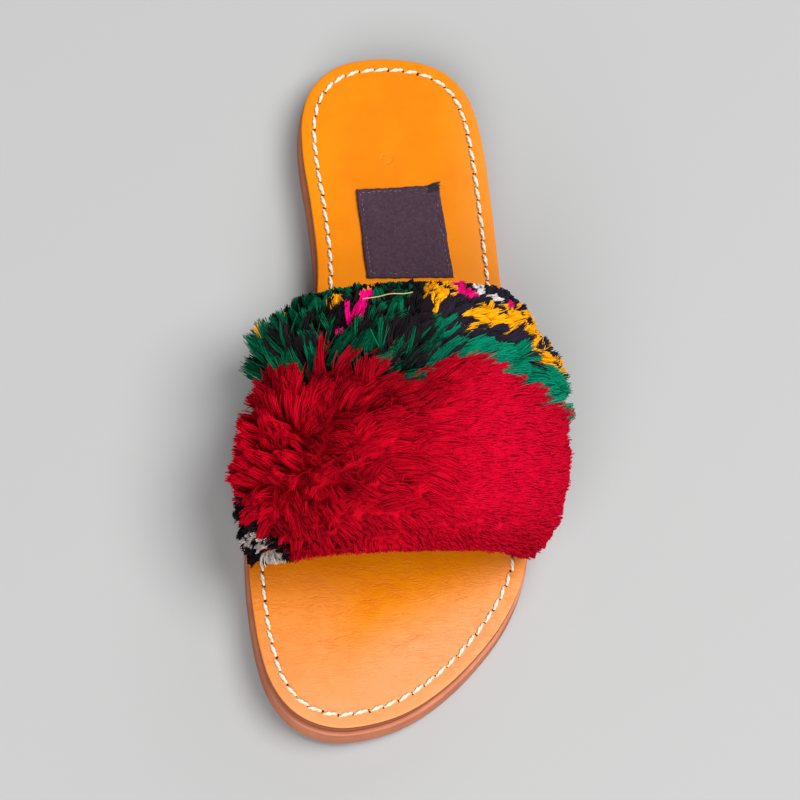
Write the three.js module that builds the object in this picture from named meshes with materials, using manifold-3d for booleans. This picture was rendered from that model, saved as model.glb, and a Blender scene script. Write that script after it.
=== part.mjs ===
// Slide sandal for the left foot: a tan leather insole on a two-layer sole,
// under one wide strap of deep wool pile.
// Millimetres, +Z up, toe towards -Y, inner (big toe) side towards -X.
// The origin is on the floor, under the middle of the sole.
import * as THREE from "three";
import { mergeVertices } from "three/addons/utils/BufferGeometryUtils.js";
import Module from "manifold-3d";

const wasm = await Module();
wasm.setup();

// Driving dimensions
const insoleLength = 267;
const seatGap = 0.3; // between two pieces that lie on each other

// Sole layers from the floor up, each edge set in from the insole's edge by its inset
const layers = {
  outsole: { thickness: 8.4, inset: -0.7 },
  midsole: { thickness: 2.3, inset: 0.6 },
  insole: { thickness: 3.4, inset: 0 },
};
let floor = 0;
for (const layer of Object.values(layers)) {
  layer.bottom = floor;
  layer.top = floor + layer.thickness;
  floor = layer.top + seatGap;
}
const footbed = layers.insole.top;
const toeSpring = { start: 208, rise: 3 }; // the sole is flat up to start, then lifts by rise at the toe
const outlinePoints = 360;
const soleStations = 42;

// Footprint of the insole, a row for each section from heel to toe: x of the inner and of the outer edge
const heelTip = { fromHeel: 0, x: 2.5 };
const toeTip = { fromHeel: insoleLength, x: -18 };
const footprint = [
  { fromHeel: 3.5, inner: -15.8, outer: 20.2 },
  { fromHeel: 12, inner: -25.4, outer: 29.7 },
  { fromHeel: 24, inner: -29.8, outer: 34.6 },
  { fromHeel: 40, inner: -29.9, outer: 37.4 },
  { fromHeel: 64, inner: -26.6, outer: 39.9 },
  { fromHeel: 90, inner: -24.4, outer: 42.1 },
  { fromHeel: 116, inner: -27.2, outer: 44.9 },
  { fromHeel: 142, inner: -35.2, outer: 47.8 },
  { fromHeel: 168, inner: -43.8, outer: 50.0 },
  { fromHeel: 192, inner: -48.9, outer: 50.1 },
  { fromHeel: 208, inner: -49.0, outer: 47.8 },
  { fromHeel: 224, inner: -47.4, outer: 41.0 },
  { fromHeel: 238, inner: -45.0, outer: 31.2 },
  { fromHeel: 250, inner: -41.3, outer: 20.1 },
  { fromHeel: 259, inner: -35.5, outer: 8.5 },
  { fromHeel: 264.2, inner: -28.6, outer: -2.6 },
];

// Strap band: one arch over the instep, from a slot at the inner side to a slot at the outer side
const band = {
  thickness: 3,
  slotInset: 5.2, // from the insole's edge to the band's outer face
  turnIn: 12, // how far each end runs in under the insole
  lean: Math.tan(THREE.MathUtils.degToRad(20)), // how far the crown lies forward for each mm of height
  squareness: 2.3, // power of the arch's superellipse
  columns: 24,
  rows: 9,
};
// A row for the back edge, the middle and the front edge of the band: how far from the heel its feet stand,
// how high it arches inside, how far its sides bulge out and how far its crown is shifted in x
const bandSections = [
  { innerFoot: 102, outerFoot: 99, height: 51, innerBulge: 11, outerBulge: 7, crownShift: -2 },
  { innerFoot: 152.5, outerFoot: 149, height: 45, innerBulge: 6, outerBulge: 11, crownShift: -2 },
  { innerFoot: 203, outerFoot: 199, height: 36, innerBulge: 2, outerBulge: 7, crownShift: -2 },
];
const bandWidth = bandSections[2].innerFoot - bandSections[0].innerFoot;
const archLength = 125; // over the band from foot to foot

// Wool pile: a matted base on the band, with locks that fall away from one point where they stand upright
const pile = {
  edgeDepth: 3, // of the base at its rim
  edgeRun: 0.16, // share of the band over which the base rounds off towards its rim
  hem: 0.012, // share of the arch left bare above the insole
  overBack: -0.01, // shares of the band's width that the base reaches past its back and front edge
  overFront: 0.02,
  soleRoom: 0.6, // kept clear around the sole
  columns: 20,
  rows: 8,
};
// A row for each line over the arch from the inner foot (0) to the outer foot (1): how deep the base is,
// how long the locks are behind and in front, and how many degrees they lean over at most
const pileSections = [
  { arch: 0, base: 7, lockBehind: 20, lockInFront: 9, lean: 20 },
  { arch: 0.3, base: 8, lockBehind: 17, lockInFront: 12, lean: 45 },
  { arch: 0.65, base: 8, lockBehind: 14, lockInFront: 13, lean: 66 },
  { arch: 0.85, base: 8, lockBehind: 14, lockInFront: 14, lean: 60 },
  { arch: 1, base: 8, lockBehind: 12, lockInFront: 12, lean: 35 },
];
const lock = {
  columns: 16,
  rows: 11,
  sides: 4,
  steps: 2,
  width: 11,
  thickness: 8,
  bluntness: 0.4, // 0 for a cone, towards 1 for a post
  rootDepth: 3,
  droop: -0.2, // the steepest that a lock points down, as the fall of a unit vector
  crownShare: 0.5, // length on the crown at the back edge, where the pile is cut short
  edgeRun: 0.22, // share of the band over which the locks stand up again towards its back and front edge
};
// Where the pile stands upright, as shares of the arch and of the band;
// a run away from there it leans over fully
const whorl = { arch: 0.3, band: 0.6, run: 45 };
// Green behind this share of the band's width, red in front of it:
// at the inner foot, the crown and the outer foot
const colourLine = { inner: 0.36, crown: 0.34, outer: 0.42 };
// The cut along that line, down past both feet
const colourWall = { height: 40, drop: 20, columns: 60, rows: 3 };

// Cloth label on the heel of the insole
const label = { width: 31, length: 36.8, thickness: 0.9, fromHeel: 72.8, x: 7.2, turn: 5 };

const heelY = insoleLength / 2;

// Footprint curves

// Closed outline of the footprint, set in by a distance, as the points of each side from heel to toe
function outline(inset) {
  const outer = footprint.map((row) => new THREE.Vector3(row.outer, row.fromHeel, 0));
  const inner = footprint.map((row) => new THREE.Vector3(row.inner, row.fromHeel, 0));
  const heel = new THREE.Vector3(heelTip.x, heelTip.fromHeel, 0);
  const toe = new THREE.Vector3(toeTip.x, toeTip.fromHeel, 0);
  const loop = new THREE.CatmullRomCurve3([heel, ...outer, toe, ...inner.reverse()], true);
  const points = [];
  for (let i = 0; i < outlinePoints; i++) {
    const tangent = loop.getTangent(i / outlinePoints);
    const inward = new THREE.Vector3(-tangent.y, tangent.x, 0);
    points.push(loop.getPoint(i / outlinePoints).addScaledVector(inward, inset));
  }
  const back = points.reduce((a, b) => (b.y < a.y ? b : a));
  const front = points.reduce((a, b) => (b.y > a.y ? b : a));
  const from = points.indexOf(back);
  const to = points.indexOf(front);
  const turned = [...points.slice(from), ...points.slice(0, from), back];
  const split = (to - from + outlinePoints) % outlinePoints;
  return { outer: turned.slice(0, split + 1), inner: turned.slice(split).reverse(), back, front };
}

// x of one side of an outline at a distance from the heel
function edgeAt(side, fromHeel) {
  const i = Math.max(1, side.findIndex((p, k) => k > 0 && p.y >= fromHeel));
  const [a, b] = [side[i - 1], side[i]];
  return a.x + ((b.x - a.x) * (fromHeel - a.y)) / (b.y - a.y);
}

function springAt(fromHeel) {
  const share = Math.max(0, (fromHeel - toeSpring.start) / (insoleLength - toeSpring.start));
  return toeSpring.rise * share * share;
}

// Solids

function solid(geometry) {
  const bare = geometry.clone();
  bare.deleteAttribute("normal");
  bare.deleteAttribute("uv");
  const merged = mergeVertices(bare, 1e-4);
  const index = merged.index.array;
  const triVerts = [];
  for (let i = 0; i < index.length; i += 3) {
    const [a, b, c] = [index[i], index[i + 1], index[i + 2]];
    if (a !== b && b !== c && c !== a) triVerts.push(a, b, c);
  }
  const vertProperties = merged.attributes.position.array;
  const mesh = new wasm.Mesh({ numProp: 3, vertProperties, triVerts: new Uint32Array(triVerts) });
  return new wasm.Manifold(mesh);
}

function geometryOf(body) {
  const mesh = body.getMesh();
  return new THREE.BufferGeometry()
    .setAttribute("position", new THREE.BufferAttribute(mesh.vertProperties, 3))
    .setIndex(new THREE.BufferAttribute(mesh.triVerts, 1))
    .toNonIndexed();
}

// The largest closed shells of a body, biggest first; pockets sealed inside a shell are filled
function largestShells(body, count) {
  const mesh = body.getMesh();
  const vertex = (i) => new THREE.Vector3().fromArray(mesh.vertProperties, i * mesh.numProp);
  const parent = Array.from({ length: mesh.vertProperties.length / mesh.numProp }, (_, i) => i);
  const find = (i) => {
    while (parent[i] !== i) i = parent[i] = parent[parent[i]];
    return i;
  };
  for (let i = 0; i < mesh.triVerts.length; i += 3) {
    parent[find(mesh.triVerts[i])] = find(mesh.triVerts[i + 1]);
    parent[find(mesh.triVerts[i + 1])] = find(mesh.triVerts[i + 2]);
  }
  const shells = new Map();
  for (let i = 0; i < mesh.triVerts.length; i += 3) {
    const key = find(mesh.triVerts[i]);
    if (!shells.has(key)) shells.set(key, { volume: 0, corners: [] });
    const [a, b, c] = [0, 1, 2].map((k) => vertex(mesh.triVerts[i + k]));
    shells.get(key).volume += a.dot(b.clone().cross(c)) / 6;
    shells.get(key).corners.push(a, b, c);
  }
  return [...shells.values()]
    .sort((a, b) => b.volume - a.volume)
    .slice(0, count)
    .map(({ corners }) => solid(new THREE.BufferGeometry().setFromPoints(corners)));
}

// Closed body between two grids of points, [row][column]:
// the upper grid's faces look up, the lower grid's down
function sheetBody(upper, lower) {
  const corners = [];
  const quad = (a, b, c, d) => corners.push(a, b, c, a, c, d);
  const rows = upper.length - 1;
  const columns = upper[0].length - 1;
  for (let r = 0; r < rows; r++) {
    for (let c = 0; c < columns; c++) {
      quad(upper[r][c], upper[r][c + 1], upper[r + 1][c + 1], upper[r + 1][c]);
      quad(lower[r][c], lower[r + 1][c], lower[r + 1][c + 1], lower[r][c + 1]);
    }
    quad(upper[r][0], upper[r + 1][0], lower[r + 1][0], lower[r][0]);
    quad(upper[r + 1][columns], upper[r][columns], lower[r][columns], lower[r + 1][columns]);
  }
  for (let c = 0; c < columns; c++) {
    quad(upper[0][c + 1], upper[0][c], lower[0][c], lower[0][c + 1]);
    quad(upper[rows][c], upper[rows][c + 1], lower[rows][c + 1], lower[rows][c]);
  }
  return solid(new THREE.BufferGeometry().setFromPoints(corners));
}

function grid(rows, columns, pointAt) {
  const steps = (count) => Array.from({ length: count + 1 }, (_, i) => i / count);
  return steps(rows).map((r) => steps(columns).map((c) => pointAt(c, r)));
}

// Sole

// One layer of the sole: stations crowd towards heel and toe, where the outline turns round
function soleLayer({ bottom, top, inset }) {
  const edge = outline(inset);
  const half = (edge.front.y - edge.back.y) / 2;
  const pointAt = (height) => (side, station) => {
    const fromHeel = edge.back.y + half * (1 - Math.cos(Math.PI * station));
    const x = station === 0 ? edge.back.x : edgeAt(side ? edge.outer : edge.inner, fromHeel);
    return new THREE.Vector3(x, heelY - fromHeel, height + springAt(fromHeel));
  };
  const stationsToToe = (height) => grid(soleStations, 1, pointAt(height)).reverse();
  return sheetBody(stationsToToe(top), stationsToToe(bottom));
}

// Strap

// A value of the band's sections at a share v of its width: a curve through back edge, middle and front edge
function bandValue(name, v) {
  const [back, middle, front] = bandSections.map((row) => row[name]);
  return back * (1 - v) * (1 - 2 * v) + middle * 4 * v * (1 - v) + front * v * (2 * v - 1);
}

const slotLine = outline(band.slotInset + band.thickness);

// Inner face of the band: u runs over the arch from the inner to the outer foot,
// v from the back to the front edge
function bandPoint(u, v) {
  const innerFoot = bandValue("innerFoot", v);
  const outerFoot = bandValue("outerFoot", v);
  const innerX = edgeAt(slotLine.inner, innerFoot);
  const outerX = edgeAt(slotLine.outer, outerFoot);
  const angle = Math.PI * (1 - u);
  const sine = Math.max(0, Math.sin(angle)) ** (2 / band.squareness);
  const cosine = Math.sign(Math.cos(angle)) * Math.abs(Math.cos(angle)) ** (2 / band.squareness);
  const height = bandValue("height", v) * sine;
  const bulge = cosine < 0 ? -bandValue("innerBulge", v) : bandValue("outerBulge", v);
  const swell = bulge * Math.sin(Math.PI * Math.min(1, sine));
  const span = THREE.MathUtils.lerp(innerX, outerX, (1 + cosine) / 2);
  const x = span + swell + bandValue("crownShift", v) * sine;
  const fromHeel = THREE.MathUtils.lerp(innerFoot, outerFoot, (1 + cosine) / 2) + band.lean * height;
  return new THREE.Vector3(x, heelY - fromHeel, footbed + height);
}

// The band's directions at a point: across the arch, forward to the toe, and out from the foot
function bandFrame(u, v) {
  const step = 0.004;
  const low = Math.max(0, u - step);
  const high = Math.min(1, u + step);
  const across = bandPoint(high, v).sub(bandPoint(low, v)).normalize();
  const forward = bandPoint(u, v + step).sub(bandPoint(u, v - step)).normalize();
  const out = new THREE.Vector3().crossVectors(forward, across).normalize();
  return { across, forward, out };
}

function bandOut(u, v, distance) {
  return bandPoint(u, v).addScaledVector(bandFrame(u, v).out, distance);
}

// The band with its ends run down through the insole and turned in over the outsole;
// grow makes the space it needs
function strapBody(grow) {
  const under = layers.midsole.bottom - grow / 2;
  const over = layers.midsole.top + grow / 2;
  const section = (v, distance, tabHeight) => {
    const foot = (u) => {
      const base = bandOut(u, v, distance).setZ(tabHeight);
      const inward = bandFrame(u, v).out.setZ(0).normalize().multiplyScalar(-1);
      const reach = band.turnIn + grow + distance;
      return [base, base.clone().addScaledVector(inward, reach)];
    };
    const [innerCorner, innerTip] = foot(0);
    const [outerCorner, outerTip] = foot(1);
    const arch = Array.from({ length: band.columns + 1 }, (_, i) => bandOut(i / band.columns, v, distance));
    return [innerTip, innerCorner, ...arch, outerCorner, outerTip];
  };
  const margin = grow / bandWidth;
  const rows = Array.from({ length: band.rows + 1 }, (_, i) => (i / band.rows) * (1 + 2 * margin) - margin);
  const outside = rows.map((v) => section(v, band.thickness + grow, under));
  const inside = rows.map((v) => section(v, -grow, over));
  return sheetBody(inside, outside);
}

// Pile

function pileValue(name, u) {
  const next = Math.max(1, pileSections.findIndex((row) => row.arch >= u));
  const [a, b] = [pileSections[next - 1], pileSections[next]];
  return THREE.MathUtils.mapLinear(u, a.arch, b.arch, a[name], b[name]);
}

// Rounded rise from 0 at either end of a share to 1 once it is a run away from them
function rimRound(share) {
  const rise = Math.min(1, Math.min(share, 1 - share) / pile.edgeRun);
  return Math.sqrt(1 - (1 - rise) ** 2);
}

function pileBase() {
  const reach = 1 + pile.overBack + pile.overFront;
  const pointAt = (depthAt) => (c, r) => {
    const u = pile.hem + c * (1 - 2 * pile.hem);
    return bandOut(u, r * reach - pile.overBack, band.thickness + depthAt(c, r));
  };
  const depth = (c, r) => {
    const round = Math.min(rimRound(c), rimRound(r));
    return THREE.MathUtils.lerp(pile.edgeDepth, pileValue("base", c), round);
  };
  return sheetBody(
    grid(pile.rows, pile.columns, pointAt(() => 0)),
    grid(pile.rows, pile.columns, pointAt(depth)),
  );
}

// The way the pile lies at a point: more and more over, away from the whorl
function pileLie(u, v) {
  const { across, forward, out } = bandFrame(u, v);
  const fall = new THREE.Vector2((u - whorl.arch) * archLength, (v - whorl.band) * bandWidth);
  fall.y *= Math.min(1, Math.min(v, 1 - v) / lock.edgeRun);
  const share = THREE.MathUtils.smoothstep(fall.length(), 0, whorl.run);
  const lean = THREE.MathUtils.degToRad(share * pileValue("lean", u));
  fall.normalize();
  const along = across.multiplyScalar(fall.x).addScaledVector(forward, fall.y);
  const axis = out.clone().multiplyScalar(Math.cos(lean)).addScaledVector(along, Math.sin(lean));
  for (const way of [out, axis]) way.setZ(Math.max(way.z, lock.droop)).normalize();
  const side = new THREE.Vector3().crossVectors(out, along);
  return { along, side, out, axis };
}

// One lock: a blunt cone rooted in the base, bent over from upright to the way the pile lies
function pileLock(u, v) {
  const { along, side, out, axis } = pileLie(u, v);
  const cut = (1 - lock.crownShare) * Math.sin(Math.PI * u) * (1 - Math.min(1, v / lock.edgeRun));
  const uncut = THREE.MathUtils.lerp(pileValue("lockBehind", u), pileValue("lockInFront", u), v);
  const length = uncut * (1 - cut);
  const root = bandOut(u, v, band.thickness + lock.rootDepth);
  const cone = new THREE.ConeGeometry(0.5, 1, lock.sides, lock.steps).translate(0, 0.5, 0);
  const position = cone.attributes.position;
  for (let i = 0; i < position.count; i++) {
    const share = position.getY(i);
    const swell = share < 1 ? (1 - share) ** -lock.bluntness : 1;
    const point = root
      .clone()
      .addScaledVector(out, length * share * (1 - share))
      .addScaledVector(axis, length * share * share)
      .addScaledVector(side, position.getX(i) * swell * lock.width)
      .addScaledVector(along, position.getZ(i) * swell * lock.thickness);
    position.setXYZ(i, point.x, point.y, point.z);
  }
  return solid(cone);
}

// Thin gap between the green and the red field, right through the pile;
// its end columns run on down past the feet
function colourGap() {
  const { inner, crown, outer } = colourLine;
  const lineAt = (u) => inner * (1 - u) * (1 - 2 * u) + crown * 4 * u * (1 - u) + outer * u * (2 * u - 1);
  const { height, drop, columns, rows } = colourWall;
  const wall = (side) => (c, r) => {
    const column = c * columns - 1;
    const u = THREE.MathUtils.clamp(column / (columns - 2), 0, 1);
    const v = lineAt(u) + (side * seatGap) / 2 / bandWidth;
    const down = column < 0 || column > columns - 2 ? drop : 0;
    const point = bandOut(u, v, THREE.MathUtils.lerp(band.thickness / 2, height, r));
    return point.setZ(point.z - down);
  };
  return sheetBody(grid(rows, columns, wall(1)), grid(rows, columns, wall(-1)));
}

function pileFields(strapRoom) {
  const locks = [];
  for (let r = 0; r < lock.rows; r++) {
    for (let c = 0; c < lock.columns; c++) {
      const stagger = r % 2 ? 0.25 : -0.25;
      locks.push(pileLock((c + 0.5 + stagger) / lock.columns, (r + 0.5) / lock.rows));
    }
  }
  const clear = pile.soleRoom;
  const inset = layers.outsole.inset - clear;
  const soleRoom = soleLayer({ bottom: -clear, top: footbed + clear, inset });
  const room = wasm.Manifold.union([soleRoom, strapRoom, colourGap()]);
  const whole = wasm.Manifold.union([pileBase(), ...locks]).subtract(room);
  const [red, green] = largestShells(whole, 2);
  return { red, green };
}

// Label

function labelBody() {
  const turn = THREE.MathUtils.degToRad(label.turn);
  const centre = new THREE.Vector3(label.x, heelY - label.fromHeel, footbed + seatGap);
  const pointAt = (height) => (c, r) =>
    new THREE.Vector3((c - 0.5) * label.width, (r - 0.5) * label.length, height)
      .applyAxisAngle(new THREE.Vector3(0, 0, 1), turn)
      .add(centre);
  return sheetBody(grid(1, 1, pointAt(label.thickness)), grid(1, 1, pointAt(0)));
}

// Assembly

const leather = (color, roughness) => new THREE.MeshStandardMaterial({ color, roughness, metalness: 0 });
const wool = (color) => new THREE.MeshStandardMaterial({ color, roughness: 0.95, metalness: 0 });

const strapRoom = strapBody(seatGap);
const fields = pileFields(strapRoom);
const pieces = [
  { name: "outsole", body: soleLayer(layers.outsole), material: leather(0xb5764f, 0.6) },
  { name: "midsole", body: soleLayer(layers.midsole).subtract(strapRoom), material: leather(0x7a3b26, 0.6) },
  { name: "insole", body: soleLayer(layers.insole).subtract(strapRoom), material: leather(0xf9972e, 0.45) },
  { name: "strap_band", body: strapBody(0), material: wool(0xcbb79b) },
  { name: "pile_red", body: fields.red, material: wool(0xc00a22) },
  { name: "pile_green", body: fields.green, material: wool(0x0f6a45) },
  { name: "label", body: labelBody(), material: wool(0x4e3c48) },
];

const sandal = new THREE.Group();
for (const { name, body, material } of pieces) {
  const mesh = new THREE.Mesh(geometryOf(body), material);
  mesh.name = name;
  sandal.add(mesh);
}

export default sandal;
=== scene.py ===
# Slide sandal for the left foot: tan leather insole on a two-layer sole, wide strap of deep wool pile.
# Lengths are in millimetres until a mesh is made; toe towards -Y, inner (big toe) side towards -X.
import math

import bmesh
import bpy
import numpy as np
from mathutils import Matrix, Vector


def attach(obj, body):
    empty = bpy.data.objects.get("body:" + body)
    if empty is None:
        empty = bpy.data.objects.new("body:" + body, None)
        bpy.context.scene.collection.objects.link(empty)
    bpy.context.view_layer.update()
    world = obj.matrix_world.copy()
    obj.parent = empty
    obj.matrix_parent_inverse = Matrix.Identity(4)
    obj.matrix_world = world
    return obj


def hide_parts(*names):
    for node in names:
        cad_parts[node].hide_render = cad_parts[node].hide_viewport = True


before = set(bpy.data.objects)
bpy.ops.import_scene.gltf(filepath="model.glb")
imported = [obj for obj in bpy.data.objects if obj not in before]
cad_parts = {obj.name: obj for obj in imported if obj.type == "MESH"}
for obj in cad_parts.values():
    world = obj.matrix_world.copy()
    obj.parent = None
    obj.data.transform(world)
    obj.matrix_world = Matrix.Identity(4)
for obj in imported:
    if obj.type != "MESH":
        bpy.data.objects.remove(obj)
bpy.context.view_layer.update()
mm = 0.001
rng = np.random.default_rng(14)
print("frame loaded")


# Shader helpers

def tone(red, green, blue):
    # a colour read off as 0 to 255 values, as the linear colour that the shaders take
    parts = [c / 255 for c in (red, green, blue)]
    return [c / 12.92 if c <= 0.04045 else ((c + 0.055) / 1.055) ** 2.4 for c in parts] + [1]


class Wire:
    # one socket of a material; arithmetic on it adds Math nodes
    def __init__(self, tree, socket=None):
        self.tree = tree
        self.socket = socket

    def node(self, kind, settings={}, inputs={}, output=0):
        made = self.tree.nodes.new(kind)
        for name, value in settings.items():
            setattr(made, name, value)
        for key, value in inputs.items():
            if isinstance(value, Wire):
                self.tree.links.new(value.socket, made.inputs[key])
            else:
                made.inputs[key].default_value = value
        return Wire(self.tree, made.outputs[output])

    def math(self, operation, first, second):
        return self.node("ShaderNodeMath", {"operation": operation}, {0: first, 1: second})

    def __add__(self, other):
        return self.math("ADD", self, other)

    def __radd__(self, other):
        return self.math("ADD", other, self)

    def __sub__(self, other):
        return self.math("SUBTRACT", self, other)

    def __rsub__(self, other):
        return self.math("SUBTRACT", other, self)

    def __mul__(self, other):
        return self.math("MULTIPLY", self, other)

    def __rmul__(self, other):
        return self.math("MULTIPLY", other, self)

    def above(self, floor):
        return self.math("MAXIMUM", self, floor)

    def rise(self, low, high):
        # 0 at low, 1 at high, eased at both ends
        settings = {"interpolation_type": "SMOOTHSTEP"}
        return self.node("ShaderNodeMapRange", settings, {"Value": self, "From Min": low, "From Max": high})

    def place(self):
        # position on the piece, in millimetres
        spot = self.node("ShaderNodeTexCoord", output="Object")
        return self.node("ShaderNodeVectorMath", {"operation": "SCALE"}, {0: spot, "Scale": 1 / mm})

    def part(self, axis):
        return self.node("ShaderNodeSeparateXYZ", {}, {0: self}, axis)

    def stretch(self, factors):
        return self.node("ShaderNodeVectorMath", {"operation": "MULTIPLY"}, {0: self, 1: factors})

    def noise(self, size, detail=2.0, roughness=0.5, distortion=0.0):
        # soft noise from 0 to 1, with features of about that size
        inputs = {"Vector": self, "Scale": 1 / size, "Detail": detail, "Roughness": roughness}
        return self.node("ShaderNodeTexNoise", {}, {**inputs, "Distortion": distortion})

    def mix(self, first, second):
        settings = {"data_type": "RGBA"}
        return self.node("ShaderNodeMix", settings, {0: self, 6: first, 7: second}, 2)

    def bump(self, strength, distance, under=None):
        inputs = {"Height": self, "Strength": strength, "Distance": distance * mm}
        return self.node("ShaderNodeBump", {}, {**inputs, "Normal": under} if under else inputs)


def newFinish(name, specular, roughness=0.5):
    # a material whose constant values sit on the shader's own sockets
    material = bpy.data.materials.new(name)
    material.use_nodes = True
    shader = material.node_tree.nodes["Principled BSDF"]
    shader.inputs["Specular IOR Level"].default_value = specular
    shader.inputs["Roughness"].default_value = roughness
    return material, Wire(material.node_tree), shader


def feed(shader, wires):
    for socket, wire in wires.items():
        wire.tree.links.new(wire.socket, shader.inputs[socket])


def plainFinish(name, specular, roughness, size, first, second):
    # two tones mixed by soft noise
    material, start, shader = newFinish(name, specular, roughness)
    feed(shader, {"Base Color": start.place().noise(size).mix(first, second)})
    return material


# Mesh helpers

def unit(vectors):
    return vectors / np.maximum(1e-9, np.linalg.norm(vectors, axis=-1, keepdims=True))


def ease(value, low, high):
    share = np.clip((value - low) / (high - low), 0, 1)
    return share * share * (3 - 2 * share)


def inScene(name, data):
    made = bpy.data.objects.new(name, data)
    bpy.context.scene.collection.objects.link(made)
    return made


def piece(name, points, faces, finish, node=None, values=None):
    # one mesh object from arrays of points in millimetres and of faces with the same number of corners
    mesh = bpy.data.meshes.new(name)
    mesh.vertices.add(len(points))
    mesh.vertices.foreach_set("co", (points * mm).astype(np.float32).ravel())
    mesh.loops.add(faces.size)
    mesh.loops.foreach_set("vertex_index", faces.astype(np.int32).ravel())
    mesh.polygons.add(len(faces))
    mesh.polygons.foreach_set("loop_start", np.arange(0, faces.size, faces.shape[1], dtype=np.int32))
    mesh.polygons.foreach_set("use_smooth", np.ones(len(faces), dtype=bool))
    for key, column in (values or {}).items():
        mesh.attributes.new(key, "FLOAT", "POINT").data.foreach_set("value", column.astype(np.float32))
    mesh.update(calc_edges=True)
    mesh.validate()
    mesh.materials.append(finish)
    made = inScene(name, mesh)
    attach(made, "root")
    if node:
        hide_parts(node)
    return made


def weld(made):
    # joins the points that lie on each other
    shape = bmesh.new()
    shape.from_mesh(made.data)
    bmesh.ops.remove_doubles(shape, verts=shape.verts, dist=0.01 * mm)
    bmesh.ops.recalc_face_normals(shape, faces=shape.faces)
    shape.to_mesh(made.data)
    shape.free()


def gridFaces(rows, columns, closed=False):
    # quads of a grid of points, row after row; closed joins the last column to the first
    r, c = np.meshgrid(np.arange(rows - 1), np.arange(columns if closed else columns - 1), indexing="ij")
    n = (c + 1) % columns
    corners = [r * columns + c, r * columns + n, (r + 1) * columns + n, (r + 1) * columns + c]
    return np.stack(corners, -1).reshape(-1, 4)


def sheetFaces(rows, columns):
    # quads of a closed sheet: an upper grid, then a lower grid of the same size, joined round the rim
    top = gridFaces(rows, columns)
    low = top[:, ::-1] + rows * columns
    index = np.arange(rows * columns).reshape(rows, columns)
    rim = np.concatenate([index[0, ::-1], index[1:, 0], index[-1, 1:], index[-2:0:-1, -1]])
    after = np.roll(rim, -1)
    side = np.stack([rim, after, after + rows * columns, rim + rows * columns], -1)
    return np.vstack([top, low, side])


def copies(faces, count, size):
    # the same faces for many copies of a shape with that number of points
    return (faces[None] + (np.arange(count) * size)[:, None, None]).reshape(-1, faces.shape[1])


def tubes(paths, radii, sides, level=False):
    # thin tubes along many paths at once: paths (n, steps, 3), radii (n, steps); level lines up their rings
    tangent = unit(np.gradient(paths, axis=1))
    turn = np.array([[0.0, 0.0, 1.0]]) if level else rng.normal(0, 1, (len(paths), 3))
    first = unit(np.cross(tangent, turn[:, None]))
    second = np.cross(tangent, first)
    angle = np.arange(sides) * 2 * np.pi / sides
    ring = first[:, :, None] * np.cos(angle)[:, None] + second[:, :, None] * np.sin(angle)[:, None]
    points = paths[:, :, None] + ring * radii[:, :, None, None]
    steps = paths.shape[1]
    quads = gridFaces(steps, sides, True)
    faces = np.vstack([quads[:, [0, 1, 2]], quads[:, [0, 2, 3]]])
    return points.reshape(-1, 3), copies(faces, len(paths), steps * sides)


# Footprint

heelY = 133.5
footbed = 14.7
toeSpring = {"start": 208, "rise": 3}
springRun = heelY * 2 - toeSpring["start"]
edgePoints = 360
stations = 96
stationShares = (1 - np.cos(np.pi * np.arange(stations + 1) / stations)) / 2
spine = {"start": 34, "end": 228}
heelTip, toeTip = (2.5, 0), (-18, 267)
# from the heel, x of the inner edge, x of the outer edge
footprint = np.array([
    (3.5, -15.8, 20.2), (12, -25.4, 29.7), (24, -29.8, 34.6), (40, -29.9, 37.4),
    (64, -26.6, 39.9), (90, -24.4, 42.1), (116, -27.2, 44.9), (142, -35.2, 47.8),
    (168, -43.8, 50.0), (192, -48.9, 50.1), (208, -49.0, 47.8), (224, -47.4, 41.0),
    (238, -45.0, 31.2), (250, -41.3, 20.1), (259, -35.5, 8.5), (264.2, -28.6, -2.6),
])


def smoothLoop(points, count):
    # a smooth closed curve through the points
    share = np.arange(count) * len(points) / count
    index = share.astype(int)
    w = (share - index)[:, None]
    p0, p1, p2, p3 = (points[(index + k) % len(points)] for k in (-1, 0, 1, 2))
    d0, d1, d2 = (np.linalg.norm(b - a, axis=1)[:, None] ** 0.5 for a, b in ((p0, p1), (p1, p2), (p2, p3)))
    t1 = d1 * ((p1 - p0) / d0 - (p2 - p0) / (d0 + d1) + (p2 - p1) / d1)
    t2 = d1 * ((p2 - p1) / d1 - (p3 - p1) / (d1 + d2) + (p3 - p2) / d2)
    return p1 + t1 * w + (3 * (p2 - p1) - 2 * t1 - t2) * w**2 + (2 * (p1 - p2) + t1 + t2) * w**3


def insetLoop(inset):
    # the footprint's edge set in by a distance, heel first, as x and distance from the heel
    outer, inner = footprint[:, [2, 0]], footprint[::-1][:, [1, 0]]
    loop = smoothLoop(np.vstack([[heelTip], outer, [toeTip], inner]), edgePoints)
    tangent = unit(np.roll(loop, -1, 0) - np.roll(loop, 1, 0))
    loop = loop + inset * np.stack([-tangent[:, 1], tangent[:, 0]], 1)
    return np.roll(loop, -int(loop[:, 1].argmin()), 0)


def edgeSides(inset):
    loop = insetLoop(inset)
    toe = int(loop[:, 1].argmax())
    return np.vstack([loop[toe:], loop[:1]])[::-1], loop[: toe + 1]


def stationRing(inset):
    # the edge as the same number of points on each side, crowded at heel and toe
    inner, outer = edgeSides(inset)
    fromHeel = inner[0, 1] + (inner[-1, 1] - inner[0, 1]) * stationShares
    out, into = (np.stack([np.interp(fromHeel, s[:, 1], s[:, 0]), fromHeel], -1) for s in (outer, inner))
    return np.vstack([out, into[-2:0:-1]])


def spineRing():
    # the line that the upper and lower faces close on, a point for each point of a ring
    fromHeel = spine["start"] + (spine["end"] - spine["start"]) * stationShares
    middle = np.interp(fromHeel, footprint[:, 0], footprint[:, 1:].mean(1))
    line = np.stack([middle, fromHeel], -1)
    return np.vstack([line, line[-2:0:-1]])


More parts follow.
